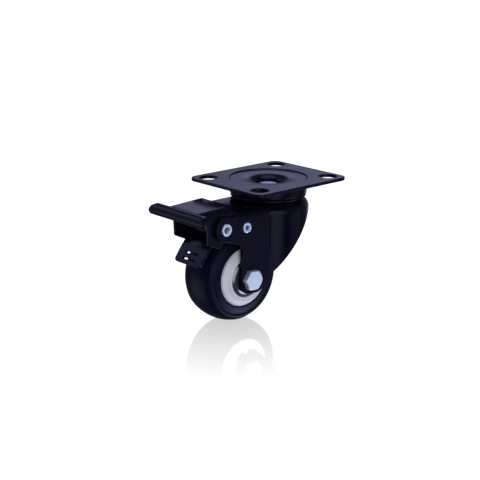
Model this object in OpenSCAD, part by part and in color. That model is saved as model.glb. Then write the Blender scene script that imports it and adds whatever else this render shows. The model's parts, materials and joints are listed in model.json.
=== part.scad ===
// Braked swivel castor with a plate mount.
// Origin: middle of the plate's upper face, on the swivel axis. +Z is up, the pedal points along -X,
// and the axle lies along Y.

/* [Plate] */
// Length of the plate, along X
plate_len = 64; // [60:1:80]
// Width of the plate, along Y
plate_wid = 56; // [54:1:70]
// Thickness of the plate's sheet
plate_thk = 1.8; // [1.5:0.1:2.2]
// Corner radius of the plate
plate_corner = 5; // [2:0.5:6]
// Hole spacing along X
hole_dx = 49; // [47:0.5:60]
// Hole spacing along Y
hole_dy = 39.5; // [39:0.5:52]
// Diameter of the fixing holes
hole_d = 9.5; // [6:0.1:10]
// Radius at which the middle of the plate steps down into its dish
dish_r = 20.9; // [20.6:0.1:22]

/* [Wheel] */
// Diameter over the tread
wheel_d = 50; // [48:0.5:52]
// Width of the tread
tread_w = 20.6; // [18:0.2:20.8]
// How much the tread is lower at its edges than in the middle
crown = 2.4; // [1.5:0.1:3.5]
// Horizontal distance from the swivel axis to the axle
trail = 27; // [26:0.5:29]
// Height from the floor to the mounting face
height = 72; // [71:0.5:75]

/* [Fork] */
// Thickness of the fork's sheet
fork_thk = 2; // [1.6:0.1:2.2]
// Distance between the insides of the cheeks
cheek_gap = 28.6; // [28.6:0.2:32]
// Outer radius of the drum round the swivel axis
drum_r = 21.5; // [21:0.1:24]
// Outer radius of the bend between roof and walls
shoulder = 5; // [4:0.5:6]
// Slope of the fork's rear edge, in degrees
rear_slope = 47.8; // [45:0.2:50]

/* [Brake] */
// Sheet thickness of the pedal
pedal_thk = 1.5; // [1.2:0.1:1.8]
// Slope of the released pedal, in degrees
pedal_slope = 2.5; // [0:0.5:6]
// Width of the pedal's rolled lip
lip_w = 42; // [34:1:46]
// Sheet thickness of the shoe
shoe_thk = 1.6; // [1.2:0.1:1.8]
// Distance from the released shoe to the tread
shoe_clear = 3.2; // [2.8:0.1:3.6]
// Width of the shoe's front tab
tab_w = 20; // [14:0.5:21]

/* [Axle] */
// Diameter of the axle bolt
bolt_d = 6; // [5:0.5:6]
// Width across the flats of its head and nut
bolt_flats = 10; // [10:0.5:11]
// Height of its head
bolt_head = 3.3; // [3:0.1:4.5]

/* [Fits] */
// Clearance of a running fit, on the radius
running = 0.05; // [0.03:0.01:0.08]
// Clearance of a fixed fit, on the radius
fixed = 0.02; // [0.01:0.01:0.05]
// Space between sheets that slide past each other
side_gap = 0.4; // [0.35:0.05:0.5]

/* [Hidden] */
$fn = 64;

black = [0.07, 0.07, 0.09];
zinc = [0.66, 0.70, 0.78];
chrome = [0.78, 0.79, 0.82];
steel = [0.55, 0.56, 0.58];

wheel_r = wheel_d / 2;
axle = [-trail, wheel_r - height];
// A point at a radius and an angle round the axle, in the X-Z plane
function round_axle(r, angle) = axle + r * [cos(angle), sin(angle)];

// Swivel head, from the plate down
pin_r = 4;
dish_drop = 0.7;
cup_drop = 5;
cup_r = 7.1;
race_thk = 1.6;
upper_thk = 2.5;
race_r = 16;
ball_r = 2.4;
ball_groove = ball_r + running;
groove_depth = 0.55;
upper_race_top = -dish_drop - plate_thk;
load_z = upper_race_top - upper_thk - ball_r + groove_depth - running;
lower_race_top = load_z - ball_r + groove_depth - running;
fork_top = lower_race_top - race_thk;
fork_under = fork_top - fork_thk;
guide_ball_r = 1.6;
guide_r = 8.2;
guide_groove = guide_ball_r + running;
guide_z = fork_under - 1.3;
washer_top = guide_z - 1.3;
cup_under = -cup_drop - plate_thk;

// Fork
inner_y = cheek_gap / 2;
outer_y = inner_y + fork_thk;
pivot = round_axle(wheel_r + 8.4, 119.4);
anchor = round_axle(wheel_r + 3.05, 95.7);
lobe_r = 6.5;
leg_front = axle[0] - 6.7;
leg_foot = axle[1] - 8;
step_corner = [leg_front + 1.7, axle[1] + 18.9];

// Layers between wheel and cheek, outwards: shoe arm, pedal ear, cheek
ear_outer = inner_y - side_gap;
ear_inner = ear_outer - pedal_thk;
arm_outer = ear_inner - side_gap;
arm_inner = arm_outer - 1.3;

// Pivots
rivet_r = 2.4;
rivet_head_r = 3.2;
rivet_head = 0.6;
pivot_sleeve_r = 3.4;
anchor_rivet_r = 1.9;
anchor_sleeve_r = 2.6;

// Pedal, in its own frame: pivot at the origin, top level
pedal_top = 10.3;
pedal_rear = 7.1;
ear_front = -10;
lip_r = 3.2;
lip_proud = 0.9;
lip_front = -19.8;
lip_centre = [lip_front + lip_r, pedal_top + lip_proud - lip_r];
lip_base = lip_centre[1] - lip_r;
flare_x = lip_centre[0] + 3.6;
flare_w = 36;
pedal_bend = 4;
// The flare lies a hair inside the ears and the lip, so that their faces cross cleanly
set_in = 0.06;
// The fork's roof begins just behind the pedal
roof_front = pivot[0] + pedal_rear + side_gap;
roof_mid = pivot[0] + 10.4;

// Shoe
shoe_r = wheel_r + shoe_clear + shoe_thk / 2;
tab_angle = 143;
web_angle = 125;
wide_angle = 133;
tab_len = 9.3;
slot_w = 1.1;

// Spring
wire_r = 0.55;
coil_r = pivot_sleeve_r + 0.1 + wire_r;
coil_turns = 7;
coil_pitch = 1.05;

// Wheel
core_r = 15.6;
core_y = 11.6;
boss_y = inner_y - 0.9;
cap_seat_r = 10.2;
cap_seat = boss_y - 1.8;
hub_y = boss_y - 1.1;
sleeve_r = bolt_d / 2 + 1.6;
tread_arc = (pow(tread_w / 2, 2) + pow(crown, 2)) / (2 * crown);

function unit(v) = v / norm(v);
function angle_of(v) = atan2(v[1], v[0]);
function half_turn(a) = a > 180 ? a - 360 : a < -180 ? a + 360 : a;
// Points of a circular arc
function arc(centre, r, from, to, steps = 12) =
    [for (i = [0:steps]) let (a = from + (to - from) * i / steps) centre + r * [cos(a), sin(a)]];
// The arc that rounds the corner b between its neighbours a and c
function fillet(a, b, c, r) =
    let (u = unit(a - b), w = unit(c - b), half = acos(u * w) / 2)
    let (centre = b + unit(u + w) * r / sin(half))
    let (from = angle_of(b + u * r / tan(half) - centre), to = angle_of(b + w * r / tan(half) - centre))
    arc(centre, r, from, from + half_turn(to - from), 8);
// A closed outline whose corners are [x, y, radius], a radius of 0 leaving the corner sharp
function rounded(corners) =
    let (n = len(corners), xy = [for (c = corners) [c[0], c[1]]])
    [for (i = [0:n - 1])
        each corners[i][2] == 0 ? [xy[i]] : fillet(xy[(i + n - 1) % n], xy[i], xy[(i + 1) % n], corners[i][2])];

// Flat drawings to solids: a Y-Z section run along X, and an X-Z outline run across Y
module along_x(from, to) {
    translate([from, 0, 0]) rotate([90, 0, 90]) linear_extrude(to - from) children();
}
module across(from, to) {
    translate([0, to, 0]) rotate([90, 0, 0]) linear_extrude(to - from) children();
}
module both_sides() {
    children();
    mirror([0, 1, 0]) children();
}
// A pin along Y, centred on the X-Z point
module pin_y(at, r, from, to) {
    translate([at[0], to, at[1]]) rotate([90, 0, 0]) cylinder(r = r, h = to - from);
}
// A revolved profile, drawn as radius and distance along the axle, on the axle
module on_axle() {
    translate([axle[0], 0, axle[1]]) rotate([-90, 0, 0]) rotate_extrude($fn = 96) children();
}
// A ring of section radius r, lying level at height z
module level_ring(ring_r, z, r) {
    translate([0, 0, z]) rotate_extrude() translate([ring_r, 0]) circle(r);
}
// Section of a folded sheet: an upright box with both upper corners rounded
module hat(half_w, bend, top, bottom) {
    translate([-half_w, bottom]) square([2 * half_w, top - bend - bottom]);
    translate([bend - half_w, bottom]) square([2 * (half_w - bend), top - bottom]);
    for (side = [-1, 1])
        translate([side * (half_w - bend), top - bend]) circle(bend);
}

// Mounting plate: flat rim with four holes, and a dish pressed down round the kingpin
module top_plate() {
    rim_r = dish_r + 2.5;
    color(black) difference() {
        union() {
            difference() {
                translate([0, 0, -plate_thk]) linear_extrude(plate_thk) {
                    square([plate_len - 2 * plate_corner, plate_wid], center = true);
                    square([plate_len, plate_wid - 2 * plate_corner], center = true);
                    for (x = [-1, 1], y = [-1, 1])
                        translate([x * (plate_len / 2 - plate_corner), y * (plate_wid / 2 - plate_corner)])
                            circle(plate_corner);
                }
                translate([0, 0, -2 * plate_thk]) cylinder(r = dish_r + 1.5, h = 3 * plate_thk, $fn = 96);
            }
            rotate_extrude($fn = 96) polygon(rounded([
                [rim_r, 0, 0],
                [dish_r, 0, 0.6],
                [dish_r - 0.8, -dish_drop, 0.4],
                [cup_r + 1.4, -dish_drop, 4],
                [cup_r, -cup_drop, 0.5],
                [pin_r + fixed, -cup_drop, 0],
                [pin_r + fixed, cup_under, 0],
                [cup_r + 1.7, cup_under, 0.8],
                [cup_r + 3, -dish_drop - plate_thk, 2.5],
                [dish_r, -dish_drop - plate_thk, 0.4],
                [dish_r + 0.8, -plate_thk, 0.3],
                [rim_r, -plate_thk, 0]]));
        }
        for (x = [-1, 1], y = [-1, 1])
            translate([x * hole_dx / 2, y * hole_dy / 2, -2 * plate_thk]) cylinder(d = hole_d, h = 3 * plate_thk);
    }
}

// Swivel rivet: formed head in the dish, shoulder that sets the play, head below the washer
module kingpin() {
    shoulder_r = pin_r + 0.8;
    foot = washer_top - race_thk;
    color(zinc) rotate_extrude() polygon(rounded([
        [0, -cup_drop + 1.6, 0],
        [4.4, -cup_drop + 1.4, 1.2],
        [5.9, -cup_drop + 0.5, 0.4],
        [5.9, -cup_drop, 0],
        [pin_r, -cup_drop, 0],
        [pin_r, cup_under, 0],
        [shoulder_r, cup_under, 0],
        [shoulder_r, washer_top, 0],
        [pin_r, washer_top, 0],
        [pin_r, foot, 0],
        [6.4, foot, 0],
        [6.4, foot - 1, 0.6],
        [3.6, foot - 2.6, 0.8],
        [0, foot - 2.6, 0]]));
}

// Upper ball track, a pressed ring with a skirt that hides the balls
module upper_race() {
    outer = dish_r - 0.5;
    skirt = load_z - 1;
    color(black) difference() {
        rotate_extrude($fn = 96) polygon(rounded([
            [13.4, upper_race_top, 0.4],
            [outer, upper_race_top, 0.8],
            [outer, skirt, 0.4],
            [outer - 1.2, skirt, 0.4],
            [outer - 1.2, upper_race_top - upper_thk, 0.6],
            [13.4, upper_race_top - upper_thk, 0.4]]));
        level_ring(race_r, load_z, ball_groove);
    }
}

// Lower ball track, with a rim that turns outwards under the skirt
module lower_race() {
    rim = dish_r - 0.9;
    color(black) difference() {
        rotate_extrude($fn = 96) polygon(rounded([
            [12, lower_race_top, 0.4],
            [17.9, lower_race_top, 0.4],
            [18.5, lower_race_top + 0.4, 0.3],
            [rim, lower_race_top + 0.4, 0.4],
            [rim, lower_race_top - 0.8, 0.4],
            [18.2, lower_race_top - 0.8, 0.3],
            [17.4, fork_top, 0],
            [12, fork_top, 0]]));
        level_ring(race_r, load_z, ball_groove);
    }
}

// A full ring of bearing balls
module ball_ring(count, ring_r, z, r) {
    for (i = [0:count - 1])
        rotate([0, 0, i * 360 / count]) translate([ring_r, 0, z]) sphere(r, $fn = 32);
}
module load_balls() {
    color(steel) ball_ring(18, race_r, load_z, ball_r);
}
module guide_balls() {
    color(steel) ball_ring(14, guide_r, guide_z, guide_ball_r);
}

// Lower track of the guide balls, held by the kingpin
module race_washer() {
    color(zinc) difference() {
        translate([0, 0, washer_top - race_thk]) cylinder(r = 11, h = race_thk);
        translate([0, 0, washer_top - 2 * race_thk]) cylinder(r = pin_r + fixed, h = 3 * race_thk);
        level_ring(guide_r, guide_z, guide_groove);
    }
}

// Outline of cheek and leg seen from the side: lobe, step, leg, foot and straight rear edge
module cheek_outline() {
    heel = axle[0] + 6.5;
    rim_z = fork_top - shoulder - 1.8;
    rim_x = heel + (rim_z - leg_foot) / tan(rear_slope);
    above = fork_top + 2;
    translate(pivot) circle(lobe_r);
    polygon(rounded([
        [pivot[0], pivot[1] - lobe_r, 0],
        [step_corner[0], step_corner[1], 3.6],
        [leg_front, axle[1] - 2, 4],
        [leg_front, leg_foot, 6.5],
        [heel, leg_foot, 4],
        [rim_x, rim_z, 4],
        [drum_r + 2, rim_z, 0],
        [drum_r + 2, above, 0],
        [pivot[0], above, 0]]));
}
// The flat front of a cheek, which ends against the front of the shoulder bend
module lobe_limit() {
    low = fork_top - shoulder;
    translate(pivot) circle(lobe_r);
    polygon([pivot + [0, lobe_r], [roof_front, low + shoulder / 2], [roof_front, low],
             [roof_front + 6, low], [roof_front + 6, axle[1]], [pivot[0], axle[1]]]);
}
// The drawn sheet before trimming, as a solid: drum round the swivel axis, box over the wheel
module fork_blank(inset, front) {
    rotate_extrude($fn = 128) intersection() {
        hat(drum_r - inset, shoulder - inset, fork_top - inset, leg_foot - 2);
        translate([0, leg_foot - 4]) square([drum_r + 2, drum_r + 60]);
    }
    along_x(front, 0) hat(outer_y - inset, shoulder - inset, fork_top - inset, leg_foot - 2);
}
// Section across the roof and its two bends, for the front of the roof
module roof_section(inset)
    hat(outer_y - inset, shoulder - inset, fork_top - inset, fork_top - 2 * shoulder - 0.5 - inset);

// Fork: drum and cheeks in one sheet, the front of its roof, and a flat lobe on each cheek
module fork() {
    color(black) difference() {
        union() {
            intersection() {
                difference() {
                    fork_blank(0, roof_mid);
                    fork_blank(fork_thk, roof_mid - 40);
                }
                across(-drum_r - 2, drum_r + 2) cheek_outline();
            }
            difference() {
                along_x(roof_front, roof_mid + 2) roof_section(0);
                along_x(roof_front - 2, roof_mid + 4) roof_section(fork_thk);
            }
            both_sides() across(inner_y, outer_y) intersection() {
                cheek_outline();
                lobe_limit();
            }
        }
        translate([0, 0, fork_under - 2]) cylinder(r = pin_r + 1.3, h = fork_thk + 4);
        level_ring(guide_r, guide_z, guide_groove);
        pin_y(axle, bolt_d / 2 + fixed, -outer_y - 2, outer_y + 2);
        pin_y(pivot, rivet_r + fixed, -outer_y - 2, outer_y + 2);
        pin_y(anchor, anchor_rivet_r + fixed, -outer_y - 2, outer_y + 2);
    }
}

// Hollow rivet across both cheeks, with a rolled head at each end
module hollow_rivet(at, r, head_r) {
    end_y = outer_y + rivet_head;
    color(zinc) translate([at[0], 0, at[1]]) rotate([-90, 0, 0]) rotate_extrude() polygon(rounded([
        [r * 0.82, end_y, 0.2],
        [head_r - 0.2, end_y, 0.3],
        [head_r, outer_y, 0],
        [r, outer_y, 0],
        [r, -outer_y, 0],
        [head_r, -outer_y, 0],
        [head_r - 0.2, -end_y, 0.3],
        [r * 0.82, -end_y, 0.2],
        [r * 0.62, -outer_y + 0.5, 0.6],
        [r * 0.62, outer_y - 0.5, 0.6]]));
}
// Spacer tube between the cheeks, round a rivet
module spacer_tube(at, r, bore) {
    color(steel) difference() {
        pin_y(at, r, -inner_y, inner_y);
        pin_y(at, bore, -inner_y - 1, inner_y + 1);
    }
}
module pivot_rivet() {
    hollow_rivet(pivot, rivet_r, rivet_head_r);
}
module pivot_sleeve() {
    spacer_tube(pivot, pivot_sleeve_r, rivet_r + fixed);
}
module anchor_rivet() {
    hollow_rivet(anchor, anchor_rivet_r, rivet_head_r - 0.4);
}
module anchor_sleeve() {
    spacer_tube(anchor, anchor_sleeve_r, anchor_rivet_r + fixed);
}

// Close-wound return spring on the pivot sleeve: one leg under the pedal, one under the roof
module pedal_spring() {
    half = (coil_turns - 1) / 2 * coil_pitch;
    roof_leg = [roof_front + 2, fork_under - wire_r - running] - pivot;
    module leg(y, to) {
        start = [0, coil_r];
        run = to - start;
        translate([start[0], y, start[1]]) rotate([0, 90 - angle_of(run), 0])
            cylinder(r = wire_r - 0.05, h = norm(run), $fn = 24);
    }
    color(zinc) translate([pivot[0], 0, pivot[1]]) {
        rotate([-90, 0, 0]) rotate_extrude()
            for (i = [0:coil_turns - 1])
                translate([coil_r, i * coil_pitch - half]) circle(wire_r, $fn = 24);
        leg(-half, [-7.5, coil_r + 1.1]);
        leg(half, roof_leg);
    }
}

// Hexagon with its upper edge turned off at a slope
module hexagon(h) {
    corner_r = bolt_flats / sqrt(3);
    intersection() {
        cylinder(r = corner_r, h = h, $fn = 6);
        cylinder(r1 = corner_r + h * 1.5, r2 = bolt_flats / 2 - 0.2, h = h);
    }
}
module axle_bolt() {
    tip = outer_y + 7;
    color(zinc) union() {
        pin_y(axle, bolt_d / 2, -outer_y - bolt_head / 2, tip);
        translate([axle[0], -outer_y, axle[1]]) rotate([90, 0, 0]) rotate([0, 0, -5]) hexagon(bolt_head);
    }
}
// Lock nut with a round collar that holds a soft ring
module axle_nut() {
    color(zinc) difference() {
        union() {
            translate([axle[0], outer_y, axle[1]]) rotate([-90, 0, 0]) hexagon(4.6);
            pin_y(axle, 4.4, outer_y + 4, outer_y + 6);
        }
        pin_y(axle, bolt_d / 2 + fixed, outer_y - 1, outer_y + 7);
        pin_y(axle, 3.8, outer_y + 4.2, outer_y + 5.6);
    }
}
module nut_insert() {
    color("royalblue") difference() {
        pin_y(axle, 3.8 - fixed, outer_y + 4.2 + fixed, outer_y + 5.6 - fixed);
        pin_y(axle, bolt_d / 2 + fixed, outer_y + 4, outer_y + 6);
    }
}
// Tube clamped between the cheeks, on which the wheel turns
module axle_sleeve() {
    color(steel) difference() {
        pin_y(axle, sleeve_r, -inner_y, inner_y);
        pin_y(axle, bolt_d / 2 + fixed, -inner_y - 1, inner_y + 1);
    }
}

// Pale moulded core with a bore for the sleeve and a seat for a cap at each end
module wheel_core() {
    color([0.72, 0.71, 0.72]) on_axle() polygon(rounded(concat(
        core_side(1), [for (i = [len(core_side(-1)) - 1:-1:0]) core_side(-1)[i]])));
}
function core_side(side) = [
    [sleeve_r + running, side * hub_y, 0.3],
    [8, side * hub_y, 0.3],
    [8, side * cap_seat, 0],
    [cap_seat_r, side * cap_seat, 0],
    [cap_seat_r, side * boss_y, 0.4],
    [cap_seat_r + 0.9, side * boss_y, 0.6],
    [cap_seat_r + 2.2, side * (boss_y - 0.9), 1.2],
    [core_r - 0.7, side * core_y, 0.5],
    [core_r, side * (core_y - 0.8), 0]];

// Tread bonded on the core: crowned, with a shallow line and a lip on each side
module tyre() {
    color(black) on_axle() polygon(concat(
        [[core_r, core_y - 0.8]], side_wall(1),
        arc([wheel_r - tread_arc, 0], tread_arc, tread_edge() - 6, 6 - tread_edge(), 24),
        [for (i = [len(side_wall(-1)) - 1:-1:0]) side_wall(-1)[i]], [[core_r, 0.8 - core_y]]));
}
function tread_edge() = asin(tread_w / 2 / tread_arc);
function side_wall(side) = [
    [core_r + 0.4, side * (core_y - 0.5)],
    [core_r + 1.1, side * (core_y - 0.6)],
    [19.4, side * (tread_w / 2 + 0.2)],
    [19.8, side * (tread_w / 2 - 0.1)],
    [20.2, side * (tread_w / 2 + 0.1)],
    [wheel_r - crown - 1.1, side * tread_w / 2],
    [wheel_r - crown - 0.5, side * (tread_w / 2 - 0.15)]];

// Pressed bright cap over the end of the hub
module hub_cap() {
    seat = cap_seat + fixed;
    top = boss_y + 0.4;
    color(chrome) on_axle() polygon(rounded([
        [cap_seat_r - fixed, seat, 0],
        [cap_seat_r - fixed, boss_y - 0.9, 0.3],
        [cap_seat_r - 1.6, top - 0.3, 0.7],
        [7.4, top, 0.6],
        [6.4, top - 0.5, 0.4],
        [sleeve_r + 0.5, top - 0.5, 0],
        [sleeve_r + 0.5, hub_y + 0.2, 0],
        [8.1, hub_y + 0.2, 0.3],
        [8.6, seat, 0]]));
}
module hub_cap_near() {
    mirror([0, 1, 0]) hub_cap();
}
module hub_cap_far() {
    hub_cap();
}

// Outline of the pedal's ears seen from the side, with a foot that hangs in front of the shoe
module ear_outline() {
    polygon(rounded([
        [pedal_rear, pedal_top + 1, 0],
        [flare_x, pedal_top + 1, 0],
        [flare_x, lip_base, 0],
        [ear_front, lip_base, 1.2],
        [ear_front, -6.6, 1.6],
        [-2.6, -9.9, 2],
        [5.2, -3.4, 3],
        [pedal_rear, 3, 2]]));
}
// One side of the flare, as a solid: it leaves the ear at an angle, with nearly the same bend
module flare_side(inset) {
    spread = atan2(flare_w / 2 - ear_outer, flare_x - lip_centre[0]);
    bend = pedal_bend - 0.2 - inset;
    top = pedal_top - set_in / 2 - inset;
    base = lip_base + set_in - inset;
    reach = 2 * lip_w;
    translate([flare_x, ear_outer - set_in, 0]) rotate([0, 0, -spread]) translate([0, -inset, 0])
        along_x(-reach, reach) {
            translate([-reach, base]) square([reach, top - bend - base]);
            translate([-reach, base]) square([reach - bend, top - base]);
            translate([-bend, top - bend]) circle(bend);
        }
}
module flare(inset) {
    intersection() {
        flare_side(inset);
        mirror([0, 1, 0]) flare_side(inset);
        across(-lip_w, lip_w) translate([lip_centre[0] + lip_r / 2 - inset, 0])
            square([flare_x + 0.3 - lip_centre[0] - lip_r / 2 + 2 * inset, pedal_top]);
    }
}
// Section of the rolled lip: a curl that runs forward, down and under
module lip_roll() {
    start = asin(1 - lip_proud / lip_r);
    polygon(concat(arc(lip_centre, lip_r, start, 245, 24), arc(lip_centre, lip_r - pedal_thk, 245, start, 24)));
}
module brake_pedal() {
    color(black) translate([pivot[0], 0, pivot[1]]) rotate([0, -pedal_slope, 0]) difference() {
        union() {
            intersection() {
                difference() {
                    along_x(flare_x, pedal_rear) hat(ear_outer, pedal_bend, pedal_top, -12);
                    along_x(flare_x - 1, pedal_rear + 1)
                        hat(ear_inner, pedal_bend - pedal_thk, pedal_top - pedal_thk, -14);
                }
                across(-ear_outer - 1, ear_outer + 1) ear_outline();
            }
            difference() {
                flare(0);
                flare(pedal_thk);
            }
            intersection() {
                across(-lip_w / 2, lip_w / 2) lip_roll();
                along_x(lip_front - 1, lip_centre[0] + lip_r) hat(lip_w / 2, pedal_bend, pedal_top + lip_proud, 0);
            }
            both_sides() across(ear_inner - 3.4, ear_inner + 0.1) push_lug();
        }
        pin_y([0, 0], pivot_sleeve_r + running, -ear_outer - 2, ear_outer + 2);
    }
}
// Foot of an ear turned inwards, which pushes the shoe
module push_lug() {
    polygon(rounded([[-8.4, -6.1, 0.4], [-5.7, -7.4, 0.4], [-6.3, -8.5, 0.4], [-8.7, -7.3, 0.4]]));
}

// Curved sheet in front of the tread with a slotted tab, and an arm on each side to the anchor
module brake_shoe() {
    arm_in = shoe_r - 2.4;
    arm_out = shoe_r + shoe_thk / 2;
    tip = round_axle(shoe_r, tab_angle);
    color(black) difference() {
        union() {
            across(-arm_outer, arm_outer) shoe_band(shoe_r - shoe_thk / 2, arm_out, web_angle, wide_angle);
            across(-tab_w / 2, tab_w / 2) shoe_band(shoe_r - shoe_thk / 2, arm_out, web_angle, tab_angle);
            both_sides() across(arm_inner, arm_outer) {
                shoe_band(arm_in, arm_out, 97, wide_angle);
                translate(anchor) circle(anchor_sleeve_r + 1.9);
            }
            translate([tip[0], 0, tip[1]]) rotate([0, -tab_angle, 0]) rotate([0, -90, 0])
                translate([0, 0, -shoe_thk / 2]) linear_extrude(shoe_thk) tab_plan();
        }
        pin_y(anchor, anchor_sleeve_r + running, -arm_outer - 1, arm_outer + 1);
    }
}
module shoe_band(inner, outer, from, to) {
    polygon(concat(arc(axle, outer, from, to, 16), arc(axle, inner, to, from, 16)));
}
// Plan of the tab: straight sides, rounded lower corners and two slots across it
module tab_plan() {
    difference() {
        polygon(rounded([[-0.5, tab_w / 2, 0], [tab_len, tab_w / 2, 1.8], [tab_len, -tab_w / 2, 1.8],
                         [-0.5, -tab_w / 2, 0]]));
        for (run = [3, 6.4])
            translate([run, 0]) {
                square([slot_w, 8.4], center = true);
                for (side = [-1, 1])
                    translate([0, side * 4.2]) circle(slot_w / 2, $fn = 32);
            }
    }
}

top_plate();
kingpin();
upper_race();
load_balls();
lower_race();
guide_balls();
race_washer();
fork();
pivot_rivet();
pivot_sleeve();
anchor_rivet();
anchor_sleeve();
pedal_spring();
axle_bolt();
axle_nut();
nut_insert();
axle_sleeve();
wheel_core();
tyre();
hub_cap_near();
hub_cap_far();
brake_pedal();
brake_shoe();
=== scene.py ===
# %% [markdown]
# # A braked swivel castor, dressed for its picture
# A castor like this carries a cabinet or a trolley. A pressed plate is screwed to the furniture, a
# drawn steel fork turns under it on two rings of balls, and a foot pedal pushes a slotted shoe
# towards the wheel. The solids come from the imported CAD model. This lesson keeps their sizes and
# adds what the eye needs: rounded sheet edges, real balls and a wound spring, and the finishes.

# %% Load the frame
import json
import math

import bmesh
import bpy
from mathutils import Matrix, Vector
from mathutils.bvhtree import BVHTree
from mathutils.geometry import intersect_point_line


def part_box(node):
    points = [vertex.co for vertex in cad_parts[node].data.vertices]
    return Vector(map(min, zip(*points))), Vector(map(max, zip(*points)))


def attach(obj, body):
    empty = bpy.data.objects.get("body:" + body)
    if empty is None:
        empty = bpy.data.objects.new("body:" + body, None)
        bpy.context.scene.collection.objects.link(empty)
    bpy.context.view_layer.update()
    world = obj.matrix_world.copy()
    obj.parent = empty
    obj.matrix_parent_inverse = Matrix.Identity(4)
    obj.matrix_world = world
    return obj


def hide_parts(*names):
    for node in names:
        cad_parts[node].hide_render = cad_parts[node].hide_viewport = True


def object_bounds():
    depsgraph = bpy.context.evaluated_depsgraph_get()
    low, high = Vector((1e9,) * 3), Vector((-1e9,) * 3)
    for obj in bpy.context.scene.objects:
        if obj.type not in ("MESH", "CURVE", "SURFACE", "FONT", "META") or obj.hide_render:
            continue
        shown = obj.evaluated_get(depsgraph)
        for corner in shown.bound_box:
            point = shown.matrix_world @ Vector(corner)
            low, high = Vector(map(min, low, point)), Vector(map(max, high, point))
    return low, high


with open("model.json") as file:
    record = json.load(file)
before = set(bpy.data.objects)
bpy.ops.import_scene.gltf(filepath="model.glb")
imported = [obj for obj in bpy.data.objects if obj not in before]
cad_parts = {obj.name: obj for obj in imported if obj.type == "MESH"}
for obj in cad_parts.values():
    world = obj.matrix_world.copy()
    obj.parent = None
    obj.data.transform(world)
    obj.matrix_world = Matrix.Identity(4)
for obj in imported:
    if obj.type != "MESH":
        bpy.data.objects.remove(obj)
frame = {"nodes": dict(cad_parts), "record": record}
cad_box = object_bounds()
nodes = frame["nodes"]
MM = 0.001
print("solid box in mm", [round(v / MM, 1) for corner in cad_box for v in corner])

# %% [markdown]
# ## Camera
# The picture was taken from the pedal's side, a little above the plate. The place and the focal
# length were found by lining up the plate's corners and holes, the wheel and the rivets, so they
# are written as plain numbers. A square picture on a 36 mm sensor keeps the sums simple.

# %% Camera
AZIMUTH, ELEVATION = math.radians(-41.77), math.radians(16.18)
DISTANCE, FOCAL_PX, PICTURE_PX, SENSOR = 589.0 * MM, 1098.6, 480, 36.0
ASIDE, LEVEL = -14.90 * MM, -34.79 * MM

back = Vector((math.sin(AZIMUTH) * math.cos(ELEVATION),
               -math.cos(AZIMUTH) * math.cos(ELEVATION), math.sin(ELEVATION)))
right = Vector((math.cos(AZIMUTH), math.sin(AZIMUTH), 0.0))
lens = bpy.data.cameras.new("picture_camera")
lens.sensor_width = SENSOR
lens.lens = FOCAL_PX / PICTURE_PX * SENSOR
lens.clip_start, lens.clip_end = 0.01, 20.0
camera = bpy.data.objects.new("picture_camera", lens)
camera.location = right * ASIDE + Vector((0, 0, LEVEL)) + back * DISTANCE
camera.rotation_mode = "QUATERNION"
camera.rotation_quaternion = (-back).to_track_quat("-Z", "Y")
bpy.context.scene.collection.objects.link(camera)
bpy.context.scene.camera = camera
print("lens", round(lens.lens, 2), "mm, camera at", [round(v, 3) for v in camera.location])

# %% [markdown]
# ## Writing node webs
# Finishes, light and repeated shapes are all webs of nodes, and many nodes only add or multiply.
# One small class holds a socket and lets Python's own operators make those nodes, so that a
# roughness can be written as an ordinary sum. Every other node is made by one method, which takes
# its kind, its settings and what goes into its sockets.


# %% Sums on sockets
class Value:
    """The output of a node, which can stand in a sum."""

    def __init__(self, web, socket):
        self.web, self.socket = web, socket

    def also(self, out):
        """Another output of the same node."""
        return Value(self.web, self.socket.node.outputs[out])

    def math(self, operation, first, second):
        return self.web.add("ShaderNodeMath", {"operation": operation}, {0: first, 1: second})

    def __add__(self, other):
        return self.math("ADD", self, other)

    def __mul__(self, other):
        return self.math("MULTIPLY", self, other)

    def __sub__(self, other):
        return self.math("SUBTRACT", self, other)

    def __rsub__(self, other):
        return self.math("SUBTRACT", other, self)

    __radd__, __rmul__ = __add__, __mul__


# %% A web of nodes
class Web:
    """A node tree that is built node by node."""

    def __init__(self, tree):
        self.tree = tree
        tree.nodes.clear()

    def add(self, kind, settings=None, sockets=None, out=0):
        node = self.tree.nodes.new(kind)
        for key, value in (settings or {}).items():
            if key == "stops":
                ramp = node.color_ramp
                ramp.elements[0].position, ramp.elements[1].position = value[0][0], value[-1][0]
                for position, _ in value[1:-1]:
                    ramp.elements.new(position)
                for element, (_, shade) in zip(ramp.elements, value):
                    element.color = (shade, shade, shade, 1)
            else:
                setattr(node, key, value)
        for key, value in (sockets or {}).items():
            if isinstance(value, Value):
                self.tree.links.new(value.socket, node.inputs[key])
            else:
                node.inputs[key].default_value = value
        return Value(self, node.outputs[out]) if len(node.outputs) else None

    def step(self, value, low, high):
        """0 where value is under low, 1 where it is over high."""
        return self.add("ShaderNodeValToRGB", {"stops": [(low, 0.0), (high, 1.0)]}, {"Fac": value})


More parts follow.
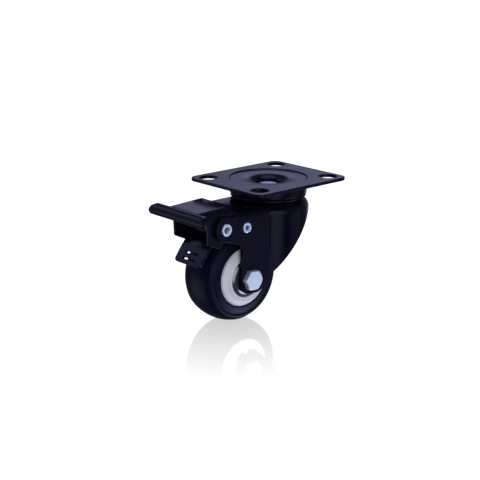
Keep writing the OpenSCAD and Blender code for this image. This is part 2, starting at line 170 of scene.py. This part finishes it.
# %% A finish
class Finish(Web):
    """A material."""

    def __init__(self, name):
        self.material = bpy.data.materials.new(name)
        self.material.use_nodes = True
        super().__init__(self.material.node_tree)
        self.place = self.add("ShaderNodeTexCoord", out="Object")

    def grain(self, size_mm, detail=2.0, stretch=(1, 1, 1)):
        """Noise with lumps of about size_mm. A stretch under 1 draws them out along that axis."""
        scaled = self.add("ShaderNodeMapping", None,
                          {"Vector": self.place, "Scale": [s / (size_mm * MM) for s in stretch]})
        return self.add("ShaderNodeTexNoise", None,
                        {"Vector": scaled, "Scale": 1.0, "Detail": detail})

    def blend(self, share, first, second):
        return self.add("ShaderNodeMix", {"data_type": "RGBA"},
                        {0: share, 6: first, 7: second}, out=2)

    def bump(self, height, depth_mm, strength=1.0):
        return self.add("ShaderNodeBump", None,
                        {"Height": height, "Distance": depth_mm * MM, "Strength": strength})

    def done(self, **sockets):
        """Closes the web with the surface shader. Underscores in a name stand for spaces."""
        surface = self.add("ShaderNodeBsdfPrincipled", None,
                           {key.replace("_", " "): value for key, value in sockets.items()})
        self.add("ShaderNodeOutputMaterial", None, {"Surface": surface})
        return self.material


# %% [markdown]
# ## Black enamel
# The sheet parts are dipped in black enamel and baked. The coat follows the sheet, so it has a
# faint orange peel, a gloss that changes a little from place to place and a few dust specks. It is
# thinnest on the edges, where it wears first: the rounded edges carry a marking number, and a
# patchy noise decides where the coat there turns grey and dull. That grey is partly wear and partly
# a painted highlight along the edges.


# %% Enamel
# The grey on the rounded edges is partly wear and partly a painted highlight along them.
DUST_GREY, WORN_AND_HIGHLIT_GREY = [0.03, 0.03, 0.036, 1], [0.035, 0.035, 0.042, 1]
ENAMEL_SHINE = [0.66, 0.65, 1.0, 1]
ENAMELS = {  # roughness, width of the orange peel in mm, tone, strength of the shine
    # The plate's tone is paler and bluer than the fork's: painted bluish light on its top.
    "plate_enamel": (0.13, 0.9, (0.0045, 0.0040, 0.0130), 0.14),
    "fork_enamel": (0.10, 1.6, (0.0032, 0.0029, 0.0080), 0.14),
    "brake_enamel": (0.12, 1.3, (0.0032, 0.0029, 0.0080), 0.16),
}


def enamel(name, gloss, peel_mm, tone, shine):
    f = Finish(name)
    peel = f.grain(size_mm=peel_mm, detail=3.0)
    dust = f.grain(size_mm=0.22, detail=1.0)
    cloud = f.grain(size_mm=14.0, detail=4.0)
    specks = f.step(f.grain(size_mm=0.5, detail=0.0), low=0.74, high=0.8)
    edge = f.add("ShaderNodeAttribute", {"attribute_name": "wear"}, out="Fac")
    # Edge grey: partly wear, partly a painted highlight along the rounded edges.
    rubbed_and_highlit = edge * f.step(f.grain(size_mm=1.8, detail=5.0), low=0.46, high=0.66)
    colour = f.blend(cloud, [0.6 * c for c in tone] + [1], [1.4 * c for c in tone] + [1])
    colour = f.blend(specks * 0.3, colour, DUST_GREY)
    colour = f.blend(rubbed_and_highlit * 0.5, colour, WORN_AND_HIGHLIT_GREY)
    return f.done(Base_Color=colour, Roughness=gloss + 0.06 * cloud + 0.05 * dust + 0.12 * rubbed_and_highlit,
                  Specular_IOR_Level=shine, Specular_Tint=ENAMEL_SHINE,
                  Normal=f.bump(peel + 0.25 * dust, depth_mm=0.008))


finishes = {name: enamel(name, *row) for name, row in ENAMELS.items()}
print("enamels", sorted(finishes))

# %% [markdown]
# ## Metals
# Bolts and rivets are zinc plated. Fresh zinc is bluish and slightly cloudy, with fine drawn
# lines. Plain steel is greyer, with a film of oil that darkens it in patches. The hub caps are
# polished, and their tone is made dark: a painted reflection of a dark room. The spring's wire is
# made nearly black, which paints the shade it sits in under the pedal. All are one web with
# other tones. They are a little less than wholly metal, because plating also scatters light.

# %% Metals
METALS = {  # pale and deep tone, roughness, width of the streaks in mm, their stretch
    "zinc": ((0.78, 0.89, 0.98), (0.62, 0.73, 0.82), 0.36, 0.5, (1, 0.15, 1)),
    "pin_zinc": ((0.66, 0.74, 0.90), (0.52, 0.60, 0.76), 0.46, 0.6, (1, 1, 0.3)),
    "steel": ((0.50, 0.50, 0.52), (0.36, 0.36, 0.38), 0.26, 0.4, (1, 0.1, 1)),
    # Chrome: its dark tone is a painted reflection of a dark room.
    "chrome": ((0.18, 0.185, 0.21), (0.12, 0.125, 0.15), 0.04, 1.5, (1, 1, 1)),
    # Spring wire: its near-black tone is painted shade for where it sits under the pedal.
    "spring_wire": ((0.10, 0.10, 0.11), (0.05, 0.05, 0.06), 0.26, 0.4, (1, 1, 1)),
}


def plated(name, pale, deep, gloss, streak_mm, stretch):
    f = Finish(name)
    cloud = f.grain(size_mm=1.6, detail=4.0)
    streaks = f.grain(streak_mm, 3.0, stretch)
    stain = f.step(f.grain(size_mm=3.5, detail=5.0), low=0.52, high=0.75)
    colour = f.blend(cloud, list(pale) + [1], list(deep) + [1])
    colour = f.blend(stain * 0.35, colour, [0.5 * c for c in deep] + [1])
    return f.done(Base_Color=colour, Metallic=0.8, Roughness=gloss + 0.12 * streaks + 0.1 * stain,
                  Normal=f.bump(streaks + 0.6 * cloud, depth_mm=0.006))


finishes.update({name: plated(name, *row) for name, row in METALS.items()})
print("metals", sorted(METALS))

# %% [markdown]
# ## Wheel
# The wheel has a tough satin tread cast round a pale moulded core. Moulded plastic shows a faint
# flow and a slightly uneven shine. The tread picks up fine scuffs round its crown.


# %% Wheel finishes
TREAD_DEEP, TREAD_PALE = [0.003, 0.003, 0.010, 1], [0.006, 0.006, 0.018, 1]
SCUFF_GREY = [0.022, 0.022, 0.03, 1]
TREAD_SHINE = [0.56, 0.58, 1.0, 1]
MOULDINGS = {  # pale and deep tone, roughness
    "core": ((0.85, 0.805, 0.78), (0.77, 0.73, 0.71), 0.3),
    "nylon": ((0.05, 0.16, 0.50), (0.04, 0.12, 0.42), 0.4),
}


def tread_finish():
    f = Finish("tread")
    fine = f.grain(size_mm=0.35, detail=2.0)
    flow = f.grain(size_mm=9.0, detail=3.0)
    scuff = f.step(f.grain(size_mm=1.2, detail=4.0, stretch=(1, 0.35, 1)), low=0.58, high=0.78)
    colour = f.blend(flow, TREAD_DEEP, TREAD_PALE)
    colour = f.blend(scuff * 0.25, colour, SCUFF_GREY)
    return f.done(Base_Color=colour, Roughness=0.27 + 0.1 * flow + 0.14 * scuff,
                  Specular_IOR_Level=0.11, Specular_Tint=TREAD_SHINE,
                  Normal=f.bump(fine + scuff, depth_mm=0.012))


def moulded(name, pale, deep, gloss):
    f = Finish(name)
    flow = f.grain(size_mm=6.0, detail=3.0)
    fine = f.grain(size_mm=0.4, detail=2.0)
    colour = f.blend(flow, list(pale) + [1], list(deep) + [1])
    return f.done(Base_Color=colour, Roughness=gloss + 0.12 * flow + 0.06 * fine,
                  Specular_IOR_Level=0.45, Normal=f.bump(fine, depth_mm=0.006))


finishes["tread"] = tread_finish()
finishes.update({name: moulded(name, *row) for name, row in MOULDINGS.items()})
print("finishes", sorted(finishes))

# %% [markdown]
# ## Softened solids
# A CAD solid has knife edges and flat facets, but a pressed sheet or a cold-formed rivet has
# neither. Each piece is a copy of its solid: the loose triangles are joined, flat faces become
# whole faces, and a narrow bevel rounds the sharp edges, which then catch a line of light. The
# bevel paints its own faces with a second material slot, and that mark becomes the number that
# greys the edges, partly as wear and partly as a painted highlight.

# %% Standing for a solid
record = frame["record"]
body_of_node = {n: b for b, members in record["behaviour"]["bodies"].items() for n in members}


def stand_for(piece, node):
    """Lets a piece take a node's place, on the node's body."""
    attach(piece, body_of_node[node])
    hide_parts(node)
    print(piece.name, len(piece.data.polygons), "faces")


# %% Modifiers made plain
def settle(piece):
    """Turns what the modifiers make into a plain mesh."""
    bpy.context.view_layer.update()
    graph = bpy.context.evaluated_depsgraph_get()
    settled = bpy.data.meshes.new_from_object(piece.evaluated_get(graph))
    piece.modifiers.clear()
    piece.data = settled


def mark_wear_and_highlight(mesh):
    """Turns the bevel's own material slot into the number for wear and painted edge highlight."""
    marks = [0] * len(mesh.polygons)
    mesh.polygons.foreach_get("material_index", marks)
    wear = mesh.attributes.new("wear", "FLOAT", "FACE")
    wear.data.foreach_set("value", [float(m) for m in marks])
    mesh.polygons.foreach_set("material_index", [0] * len(marks))
    mesh.materials.pop(index=1)


# %% [markdown]
# ## Room for a bevel
# One width for every edge would be simplest, but where a sheet is thin or two edges lie close, a
# wide bevel runs past its neighbour and the faces cross. So each sharp edge gets a weight, which
# is the share of the width that the faces beside it have room for.

# %% Weights
SHARP = math.radians(38)
FACE_SHARE, SIDE_SHARE = 0.45, 0.9


def room(edge, face, sharp):
    """How far a bevel on an edge can reach into a face before it meets something else."""
    start = edge.verts[0].co
    along = (edge.verts[1].co - start).normalized()

    def off(vertex):
        aside = vertex.co - start
        return (aside - along * aside.dot(along)).length

    reach = FACE_SHARE * max(off(vertex) for vertex in face.verts)
    for side in face.edges:
        if side is not edge and side not in sharp and set(side.verts) & set(edge.verts):
            reach = min(reach, SIDE_SHARE * max(off(vertex) for vertex in side.verts))
    return reach


def weigh(bm, width):
    """Gives each sharp edge the share of the bevel's width that it has room for."""
    weight = bm.edges.layers.float.new("bevel_weight_edge")
    sharp = {e for e in bm.edges if e.is_manifold and e.calc_face_angle() > SHARP}
    for edge in sharp:
        edge[weight] = min(1.0, min(room(edge, face, sharp) for face in edge.link_faces) / width)


# %% [markdown]
# ## Folds and strays
# Where three edges meet at a slant, a bevel can still fold a small face over or throw a point off
# the sheet. Two faces that turn back on each other give a fold away. The edges round it then lose
# their bevel for the next try, and a point that is too far from the solid goes back to it.

# %% Finding and easing folds
FOLDED, SLIVER = math.radians(155), 2e-9


def folds(mesh):
    """Where a mesh folds back on itself, once its faces are cut into triangles."""
    bm = bmesh.new()
    bm.from_mesh(mesh)
    bmesh.ops.triangulate(bm, faces=bm.faces)
    spots = [(e.verts[0].co + e.verts[1].co) / 2 for e in bm.edges
             if e.is_manifold and e.calc_face_angle(0) > FOLDED
             and min(face.calc_area() for face in e.link_faces) > SLIVER]
    bm.free()
    return spots


def ease(bm, spots, reach):
    """Takes the bevel off the edges close to the given spots."""
    weight = bm.edges.layers.float["bevel_weight_edge"]
    for edge in (e for e in bm.edges if e[weight] > 0):
        start, end = (v.co for v in edge.verts)
        for spot in spots:
            _, share = intersect_point_line(spot, start, end)
            foot = start.lerp(end, min(1.0, max(0.0, share)))
            if (foot - spot).length < reach:
                edge[weight] = 0.0
                break


# %% Bringing strays back
def hug(mesh, skin, reach):
    """Brings back any point that a bevel threw further than reach from the solid's skin."""
    strays = 0
    for vertex in mesh.vertices:
        near, _, _, gap = skin.find_nearest(vertex.co)
        if gap > reach:
            vertex.co = near
            strays += 1
    return strays


# %% [markdown]
# ## Rounding
# Faces are shaded smooth across every crease that is shallow. The bevel is tried, looked over for
# folds, and tried again until none are left or nothing improves. Weighted normals keep the big
# faces flat right up to their rounded edges.

# %% Smooth shading
CREASE = math.radians(28)


def show(piece, bm, finish, slots):
    """Gives a piece the faces of a bmesh, shaded smooth, with its finish in every slot."""
    mesh = bpy.data.meshes.new(piece.name)
    bm.to_mesh(mesh)
    mesh.polygons.foreach_set("use_smooth", [True] * len(mesh.polygons))
    mesh.set_sharp_from_angle(angle=CREASE)
    mesh.materials.clear()
    for _ in range(slots):
        mesh.materials.append(finishes[finish])
    piece.data = mesh


# %% Rounded edges
TRIES, SEGMENTS, BIG_FACES_FIRST, STRAY_SHARE = 6, 2, 100, 0.5


def round_edges(piece, bm, finish, width):
    """Bevels the sharp edges as far as they have room, and eases those that fold."""
    skin = BVHTree.FromBMesh(bm)
    weigh(bm, width)
    before = None
    for attempt in range(TRIES):
        show(piece, bm, finish, slots=2)
        bevel = piece.modifiers.new("edges", "BEVEL")
        bevel.width, bevel.segments, bevel.material = width, SEGMENTS, 1
        bevel.limit_method, bevel.use_clamp_overlap = "WEIGHT", False
        even = piece.modifiers.new("even", "WEIGHTED_NORMAL")
        even.keep_sharp, even.weight = True, BIG_FACES_FIRST
        settle(piece)
        mark_wear_and_highlight(piece.data)
        strays = hug(piece.data, skin, STRAY_SHARE * width)
        spots = folds(piece.data)
        print(piece.name, "try", attempt, "strays", strays, "folds", len(spots))
        if not spots or len(spots) == before:
            break
        before = len(spots)
        ease(bm, spots, width)


# %% A softened solid
JOIN, FLAT = 0.002 * MM, math.radians(0.1)


def soften(node, name, finish, edge_mm=0.0, shape=None):
    """Makes the piece that stands for a node, shaped further and rounded where that is asked."""
    bm = bmesh.new()
    bm.from_mesh(nodes[node].data)
    bmesh.ops.remove_doubles(bm, verts=bm.verts, dist=JOIN)
    bmesh.ops.dissolve_limit(bm, angle_limit=FLAT, verts=bm.verts, edges=bm.edges)
    if shape:
        shape(bm)
    piece = bpy.data.objects.new(name, bpy.data.meshes.new(name))
    bpy.context.scene.collection.objects.link(piece)
    if edge_mm:
        round_edges(piece, bm, finish, edge_mm * MM)
    else:
        show(piece, bm, finish, slots=1)
    bm.free()
    stand_for(piece, node)


# %% [markdown]
# ## Dish of the plate
# The press draws the plate's dish down towards a deep cup for the kingpin, so the dish's floor
# isn't quite flat: it falls a little before the cup begins. The floor is cut into a fine grid, and
# its points sink by a soft curve that fades out again down the cup's wall.

# %% Falling floor
BOWL_INNER, BOWL_OUTER, BOWL_FALL, CUP_DEPTH = 9 * MM, 15.5 * MM, 0.9 * MM, 5 * MM
DISH_LOW, DISH_HIGH, LEVEL_FACE, GRID_CUTS = -1.5 * MM, -0.3 * MM, 0.999, 16


def bowl(bm):
    """Lets the flat floor of the plate's dish fall softly towards the cup in its middle."""
    dish = [f for f in bm.faces
            if f.normal.z > LEVEL_FACE and DISH_LOW < f.calc_center_median().z < DISH_HIGH]
    cut = dish + [*dict.fromkeys(e for f in dish for e in f.edges)]
    cut += [*dict.fromkeys(v for f in dish for v in f.verts)]
    for across in (Vector((1, 0, 0)), Vector((0, 1, 0))):
        for step in range(-GRID_CUTS, GRID_CUTS + 1):
            cut = bmesh.ops.bisect_plane(bm, geom=cut, plane_co=across * step * MM,
                                         plane_no=across)["geom"]
    bm.normal_update()
    for vertex in bm.verts:
        radius = vertex.co.xy.length
        inward = Vector((-vertex.co.x, -vertex.co.y, radius))
        if radius < BOWL_OUTER and vertex.co.z < DISH_HIGH and vertex.normal.dot(inward) > 0:
            share = min(1.0, (BOWL_OUTER - radius) / (BOWL_OUTER - BOWL_INNER))
            fade = max(0.0, (vertex.co.z + CUP_DEPTH) / CUP_DEPTH)
            vertex.co.z -= BOWL_FALL * share ** 2 * fade
    bm.normal_update()


# %% The sheet parts
soften("top_plate", "plate_sheet", "plate_enamel", 0.35, shape=bowl)
soften("upper_race", "upper_track", "fork_enamel")
soften("lower_race", "lower_track", "fork_enamel")
soften("fork", "fork_sheet", "fork_enamel", 0.3)
soften("brake_pedal", "pedal_sheet", "brake_enamel", 0.25)
soften("brake_shoe", "shoe_sheet", "brake_enamel", 0.25)

# %% The plated and the plain steel
soften("kingpin", "kingpin_zinc", "pin_zinc")
for node in ("race_washer", "pivot_rivet", "anchor_rivet"):
    soften(node, node + "_zinc", "zinc")
soften("axle_bolt", "bolt_zinc", "zinc", 0.2)
soften("axle_nut", "nut_zinc", "zinc", 0.2)
for node in ("pivot_sleeve", "anchor_sleeve", "axle_sleeve"):
    soften(node, node + "_steel", "steel", 0.15)

# %% The wheel
soften("tyre", "tread_band", "tread")
soften("wheel_core", "core_moulding", "core")
# The caps' dark chrome tone is a painted reflection of a dark room.
soften("hub_cap_near", "near_cap", "chrome")
soften("hub_cap_far", "far_cap", "chrome")
soften("nut_insert", "insert_ring", "nylon")

# %% [markdown]
# ## Rings of balls
# The fork hangs and turns on two rings of steel balls. Placing each ball by hand would be slow to
# change, so a geometry tree puts one ball on every point of a circle. Count, radii and height are
# inputs of the tree; the radii and height are measured from the solid's own box, and the count is
# given.


# %% A geometry tree and the piece it makes
class Shape(Web):
    """A geometry tree with named inputs."""

    def __init__(self, name, **inputs):
        super().__init__(bpy.data.node_groups.new(name, "GeometryNodeTree"))
        sockets = self.tree.interface
        for title, kind in inputs.items():
            sockets.new_socket(title, in_out="INPUT", socket_type="NodeSocket" + kind)
        sockets.new_socket("Geometry", in_out="OUTPUT", socket_type="NodeSocketGeometry")
        self.size = self.add("NodeGroupInput")

    def done(self, made, finish):
        smooth = self.add("GeometryNodeSetShadeSmooth", None, {"Geometry": made})
        real = self.add("GeometryNodeRealizeInstances", None, {"Geometry": smooth})
        dressed = self.add("GeometryNodeSetMaterial", None,
                           {"Geometry": real, "Material": finishes[finish]})
        self.add("NodeGroupOutput", None, {0: dressed})
        return self

    def piece(self, name, **sizes):
        piece = bpy.data.objects.new(name, bpy.data.meshes.new(name))
        bpy.context.scene.collection.objects.link(piece)
        maker = piece.modifiers.new("make", "NODES")
        maker.node_group = self.tree
        for item in self.tree.interface.items_tree:
            if item.name in sizes:
                maker[item.identifier] = sizes[item.name]
        settle(piece)
        return piece


# %% Ball ring tree
ring = Shape("ball_ring", count="Int", ring_radius="Float", ball_radius="Float", height="Float")
circle = ring.add("GeometryNodeMeshCircle", None,
                  {"Vertices": ring.size.also("count"), "Radius": ring.size.also("ring_radius")})
ball = ring.add("GeometryNodeMeshUVSphere", None,
                {"Segments": 28, "Rings": 16, "Radius": ring.size.also("ball_radius")})
balls = ring.add("GeometryNodeInstanceOnPoints", None, {"Points": circle, "Instance": ball})
level = ring.add("ShaderNodeCombineXYZ", None, {"Z": ring.size.also("height")})
raised = ring.add("GeometryNodeTransform", None, {"Geometry": balls, "Translation": level})
ring.done(raised, "steel")

# %% The two rings
for node, count in (("load_balls", 18), ("guide_balls", 14)):
    low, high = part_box(node)
    ball_radius = (high.z - low.z) / 2
    made = ring.piece(node + "_steel", count=count, ball_radius=ball_radius,
                      ring_radius=high.x - ball_radius, height=(high.z + low.z) / 2)
    stand_for(made, node)

# %% [markdown]
# ## Return spring
# A torsion spring lifts the pedal: six turns of wire round the pivot's sleeve, with one leg under
# the pedal and one under the fork's roof. A spiral curve and two straight lines give its path, and
# a small circle swept along them gives the wire. The legs leave the coil at its top, where the
# wire already runs level, so the joints don't show.

# %% Spring tree
spring = Shape("coil_spring", turns="Float", coil_radius="Float", wire_radius="Float",
               width="Float", place="Vector", front_start="Vector", front_tip="Vector",
               roof_start="Vector", roof_tip="Vector")
coil = spring.add("GeometryNodeCurveSpiral", None,
                  {"Resolution": 40, "Rotations": spring.size.also("turns"),
                   "Start Radius": spring.size.also("coil_radius"),
                   "End Radius": spring.size.also("coil_radius"),
                   "Height": spring.size.also("width")})
QUARTER = math.pi / 2
upright = spring.add("GeometryNodeTransform", None,
                     {"Geometry": coil, "Rotation": [0, 0, -QUARTER]})
placed = spring.add("GeometryNodeTransform", None,
                    {"Geometry": upright, "Rotation": [-QUARTER, 0, 0],
                     "Translation": spring.size.also("place")})
path = spring.add("GeometryNodeJoinGeometry", None, {0: placed})
for end in ("front", "roof"):
    leg = spring.add("GeometryNodeCurvePrimitiveLine", None,
                     {"Start": spring.size.also(end + "_start"),
                      "End": spring.size.also(end + "_tip")})
    spring.tree.links.new(leg.socket, path.socket.node.inputs[0])
wire = spring.add("GeometryNodeCurvePrimitiveCircle", None,
                  {"Resolution": 14, "Radius": spring.size.also("wire_radius")})
# The wire's near-black finish is painted shade under the pedal.
spring.done(spring.add("GeometryNodeCurveToMesh", None,
                       {"Curve": path, "Profile Curve": wire, "Fill Caps": True}), "spring_wire")

# %% Spring
joints = {j["name"]: j for j in record["behaviour"]["joints"]}
pivot = Vector(joints["pedal_press"]["pos_m"])
TURNS, PITCH, WIRE, CLEAR, SHEET = 6, 1.05 * MM, 0.55 * MM, 0.1 * MM, 2.0 * MM
FRONT_LEG, FRONT_RISE, ROOF_LEG = 7.5 * MM, 1.1 * MM, 9.5 * MM
low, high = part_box("pivot_sleeve")
coil_radius = (high.z - low.z) / 2 + CLEAR + WIRE
half = TURNS * PITCH / 2
under_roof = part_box("fork")[1].z - SHEET - WIRE - CLEAR / 2
top = Vector((0, 0, coil_radius))
made = spring.piece("return_spring", turns=float(TURNS), coil_radius=coil_radius, wire_radius=WIRE,
                    width=2 * half, place=pivot - Vector((0, half, 0)),
                    front_start=pivot + top - Vector((0, half, 0)),
                    front_tip=pivot + Vector((-FRONT_LEG, -half, coil_radius + FRONT_RISE)),
                    roof_start=pivot + top + Vector((0, half, 0)),
                    roof_tip=Vector((pivot.x + ROOF_LEG, half, under_roof)))
stand_for(made, "pedal_spring")

# %% [markdown]
# ## Bolt thread
# The axle bolt ends just past its lock nut, so only a turn or two of its thread can be seen. A
# three-sided wire wound on the bolt's tip reads as a thread and costs a few hundred faces.

# %% Thread tree
thread = Shape("bolt_thread", turns="Float", radius="Float", depth="Float", length="Float",
               place="Vector")
wound = thread.add("GeometryNodeCurveSpiral", None,
                   {"Resolution": 36, "Rotations": thread.size.also("turns"),
                    "Start Radius": thread.size.also("radius"),
                    "End Radius": thread.size.also("radius"), "Height": thread.size.also("length")})
turned = thread.add("GeometryNodeTransform", None,
                    {"Geometry": wound, "Rotation": [-QUARTER, 0, 0],
                     "Translation": thread.size.also("place")})
ridge = thread.add("GeometryNodeCurvePrimitiveCircle", None,
                   {"Resolution": 3, "Radius": thread.size.also("depth")})
thread.done(thread.add("GeometryNodeCurveToMesh", None,
                       {"Curve": turned, "Profile Curve": ridge, "Fill Caps": True}), "zinc")

# %% Thread
axle = Vector(joints["wheel_spin"]["pos_m"])
bolt_end, nut_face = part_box("axle_bolt")[1].y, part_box("axle_nut")[1].y
BOLT_RADIUS, RIDGE = 3.0 * MM, 0.16 * MM
START_GAP, BOTH_GAPS = 1.5 * RIDGE, 3.5 * RIDGE
made = thread.piece("thread_zinc", turns=1.0, radius=BOLT_RADIUS, depth=RIDGE,
                    length=bolt_end - nut_face - BOTH_GAPS,
                    place=Vector((axle.x, nut_face + START_GAP, axle.z)))
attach(made, "fork")
print("thread", len(made.data.polygons), "faces")

# %% [markdown]
# ## Floor
# The picture has a white ground with a faint mirror image in it, and no hard shadow. A pale floor
# that glows and shines does that. The image is clearest close to the wheel, so the shine's share
# falls with the distance from the wheel's foot. The tent that the floor mirrors is dimmer than its
# glow, so the shine is turned up until the white is even. The castor doesn't mirror the floor.

# %% Floor sheet
HALF, SINK = 4.0, 0.05 * MM
z_floor = cad_box[0].z - SINK
ground = bpy.data.meshes.new("floor")
ground.from_pydata([(-HALF, -HALF, z_floor), (HALF, -HALF, z_floor), (HALF, HALF, z_floor),
                    (-HALF, HALF, z_floor)], [], [(0, 1, 2, 3)])
floor = bpy.data.objects.new("floor", ground)
bpy.context.scene.collection.objects.link(floor)
floor.visible_glossy = floor.visible_diffuse = floor.visible_shadow = False
print("floor at", round(z_floor / MM, 2), "mm")

# %% Floor finish
GLOW, SHINE, SHINE_ROUGHNESS = 1.24, [1.5, 1.44, 1.1, 1], 0.02
MIRROR_SHARE, MIRROR_REACH = 0.53, 130 * MM
wheel_foot = Vector((axle.x, axle.y, z_floor))
f = Finish("floor_white")
shine = f.add("ShaderNodeBsdfGlossy", None, {"Color": SHINE, "Roughness": SHINE_ROUGHNESS})
glow = f.add("ShaderNodeEmission", None, {"Color": [1, 1, 1, 1], "Strength": GLOW})
away = f.add("ShaderNodeVectorMath", {"operation": "DISTANCE"}, {0: f.place, 1: wheel_foot},
             out="Value")
share = MIRROR_SHARE * (1 - f.step(away * (1 / MIRROR_REACH), 0.0, 1.0))
f.add("ShaderNodeOutputMaterial", None,
      {"Surface": f.add("ShaderNodeMixShader", None, {0: share, 1: glow, 2: shine})})
ground.materials.append(f.material)

# %% [markdown]
# ## Light
# Glossy black shows little of its own: what it shows is the studio. The light is one big tent, dim
# below and a little brighter above the horizon, with round soft panels in it. Lamps are strong and
# nearly white, and brighten the zinc, the wheel and the rounded edges. Walls are weak and blue.
# Each stands where some face of the sheets mirrors it, so that level faces turn blue-grey while
# upright ones stay black. The camera itself sees plain white.

# %% Tent
SKY = [(0.0, 0.08), (0.40, 0.10), (0.49, 0.13), (0.53, 0.16), (0.66, 0.16), (0.74, 0.12),
       (1.0, 0.12)]  # from straight down to straight up
world = bpy.data.worlds.new("tent")
bpy.context.scene.world = world
world.use_nodes = True
tent = Web(world.node_tree)
way = tent.add("ShaderNodeTexCoord", out="Generated")
height = tent.add("ShaderNodeSeparateXYZ", None, {0: way}, out="Z")
light = tent.add("ShaderNodeValToRGB", {"stops": SKY}, {"Fac": 0.5 * height + 0.5})

# %% Panels
LAMPS = [  # direction, angles in degrees where it is still full and where it has ended, strength
    ((0.53, -0.53, -0.66), 11, 18, 4.4),  # low on the right
    ((0.0, 0.0, 1.0), 15, 30, 2.0),  # overhead
    ((-0.62, 0.45, -0.42), 10, 28, 1.2),  # low on the left
    ((-0.35, -0.90, 0.10), 12, 34, 2.2),  # beside the camera
]
WALLS = [
    ((0.70, 0.67, 0.45), 10, 14.5, 0.80),  # behind, where the plate mirrors it
    ((-0.62, 0.68, 0.40), 14, 30, 0.38),  # high on the left
    ((0.68, -0.68, 0.32), 10, 22, 0.16),  # high on the right
    ((0.90, 0.35, -0.25), 6, 16, 0.5),  # low behind, on the right
    ((0.64, -0.72, -0.28), 10, 22, 0.36),  # low on the right, where the cheek mirrors it
    ((-0.26, 0.72, 0.62), 8, 18, 1.0),  # high behind, on the left
]


def panel(towards, inner_deg, outer_deg, strength):
    """Light from a round soft panel: full inside one angle, nothing outside the other."""
    facing = tent.add("ShaderNodeVectorMath", {"operation": "DOT_PRODUCT"},
                      {0: way, 1: Vector(towards).normalized()}, out="Value")
    inner, outer = (math.cos(math.radians(angle)) for angle in (inner_deg, outer_deg))
    return strength * tent.step(facing, outer, inner)


light = sum((panel(*row) for row in LAMPS), light)
wall = sum(panel(*row) for row in WALLS)
print(len(LAMPS), "lamps and", len(WALLS), "walls")

# %% What the castor mirrors, and what the camera sees
LAMP_WHITE, WALL_BLUE, SEEN_WHITE = [0.86, 0.90, 1.10, 1], [0.68, 0.71, 1.24, 1], 1.1
lamps = tent.add("ShaderNodeBackground", None, {"Color": LAMP_WHITE, "Strength": light})
walls = tent.add("ShaderNodeBackground", None, {"Color": WALL_BLUE, "Strength": wall})
studio = tent.add("ShaderNodeAddShader", None, {0: lamps, 1: walls})
white = tent.add("ShaderNodeBackground", None, {"Color": [1, 1, 1, 1], "Strength": SEEN_WHITE})
seen = tent.add("ShaderNodeLightPath", out="Is Camera Ray")
tent.add("ShaderNodeOutputWorld", None,
         {"Surface": tent.add("ShaderNodeMixShader", None, {0: seen, 1: studio, 2: white})})
bpy.context.scene.view_settings.view_transform = "Standard"
print("tent ready")
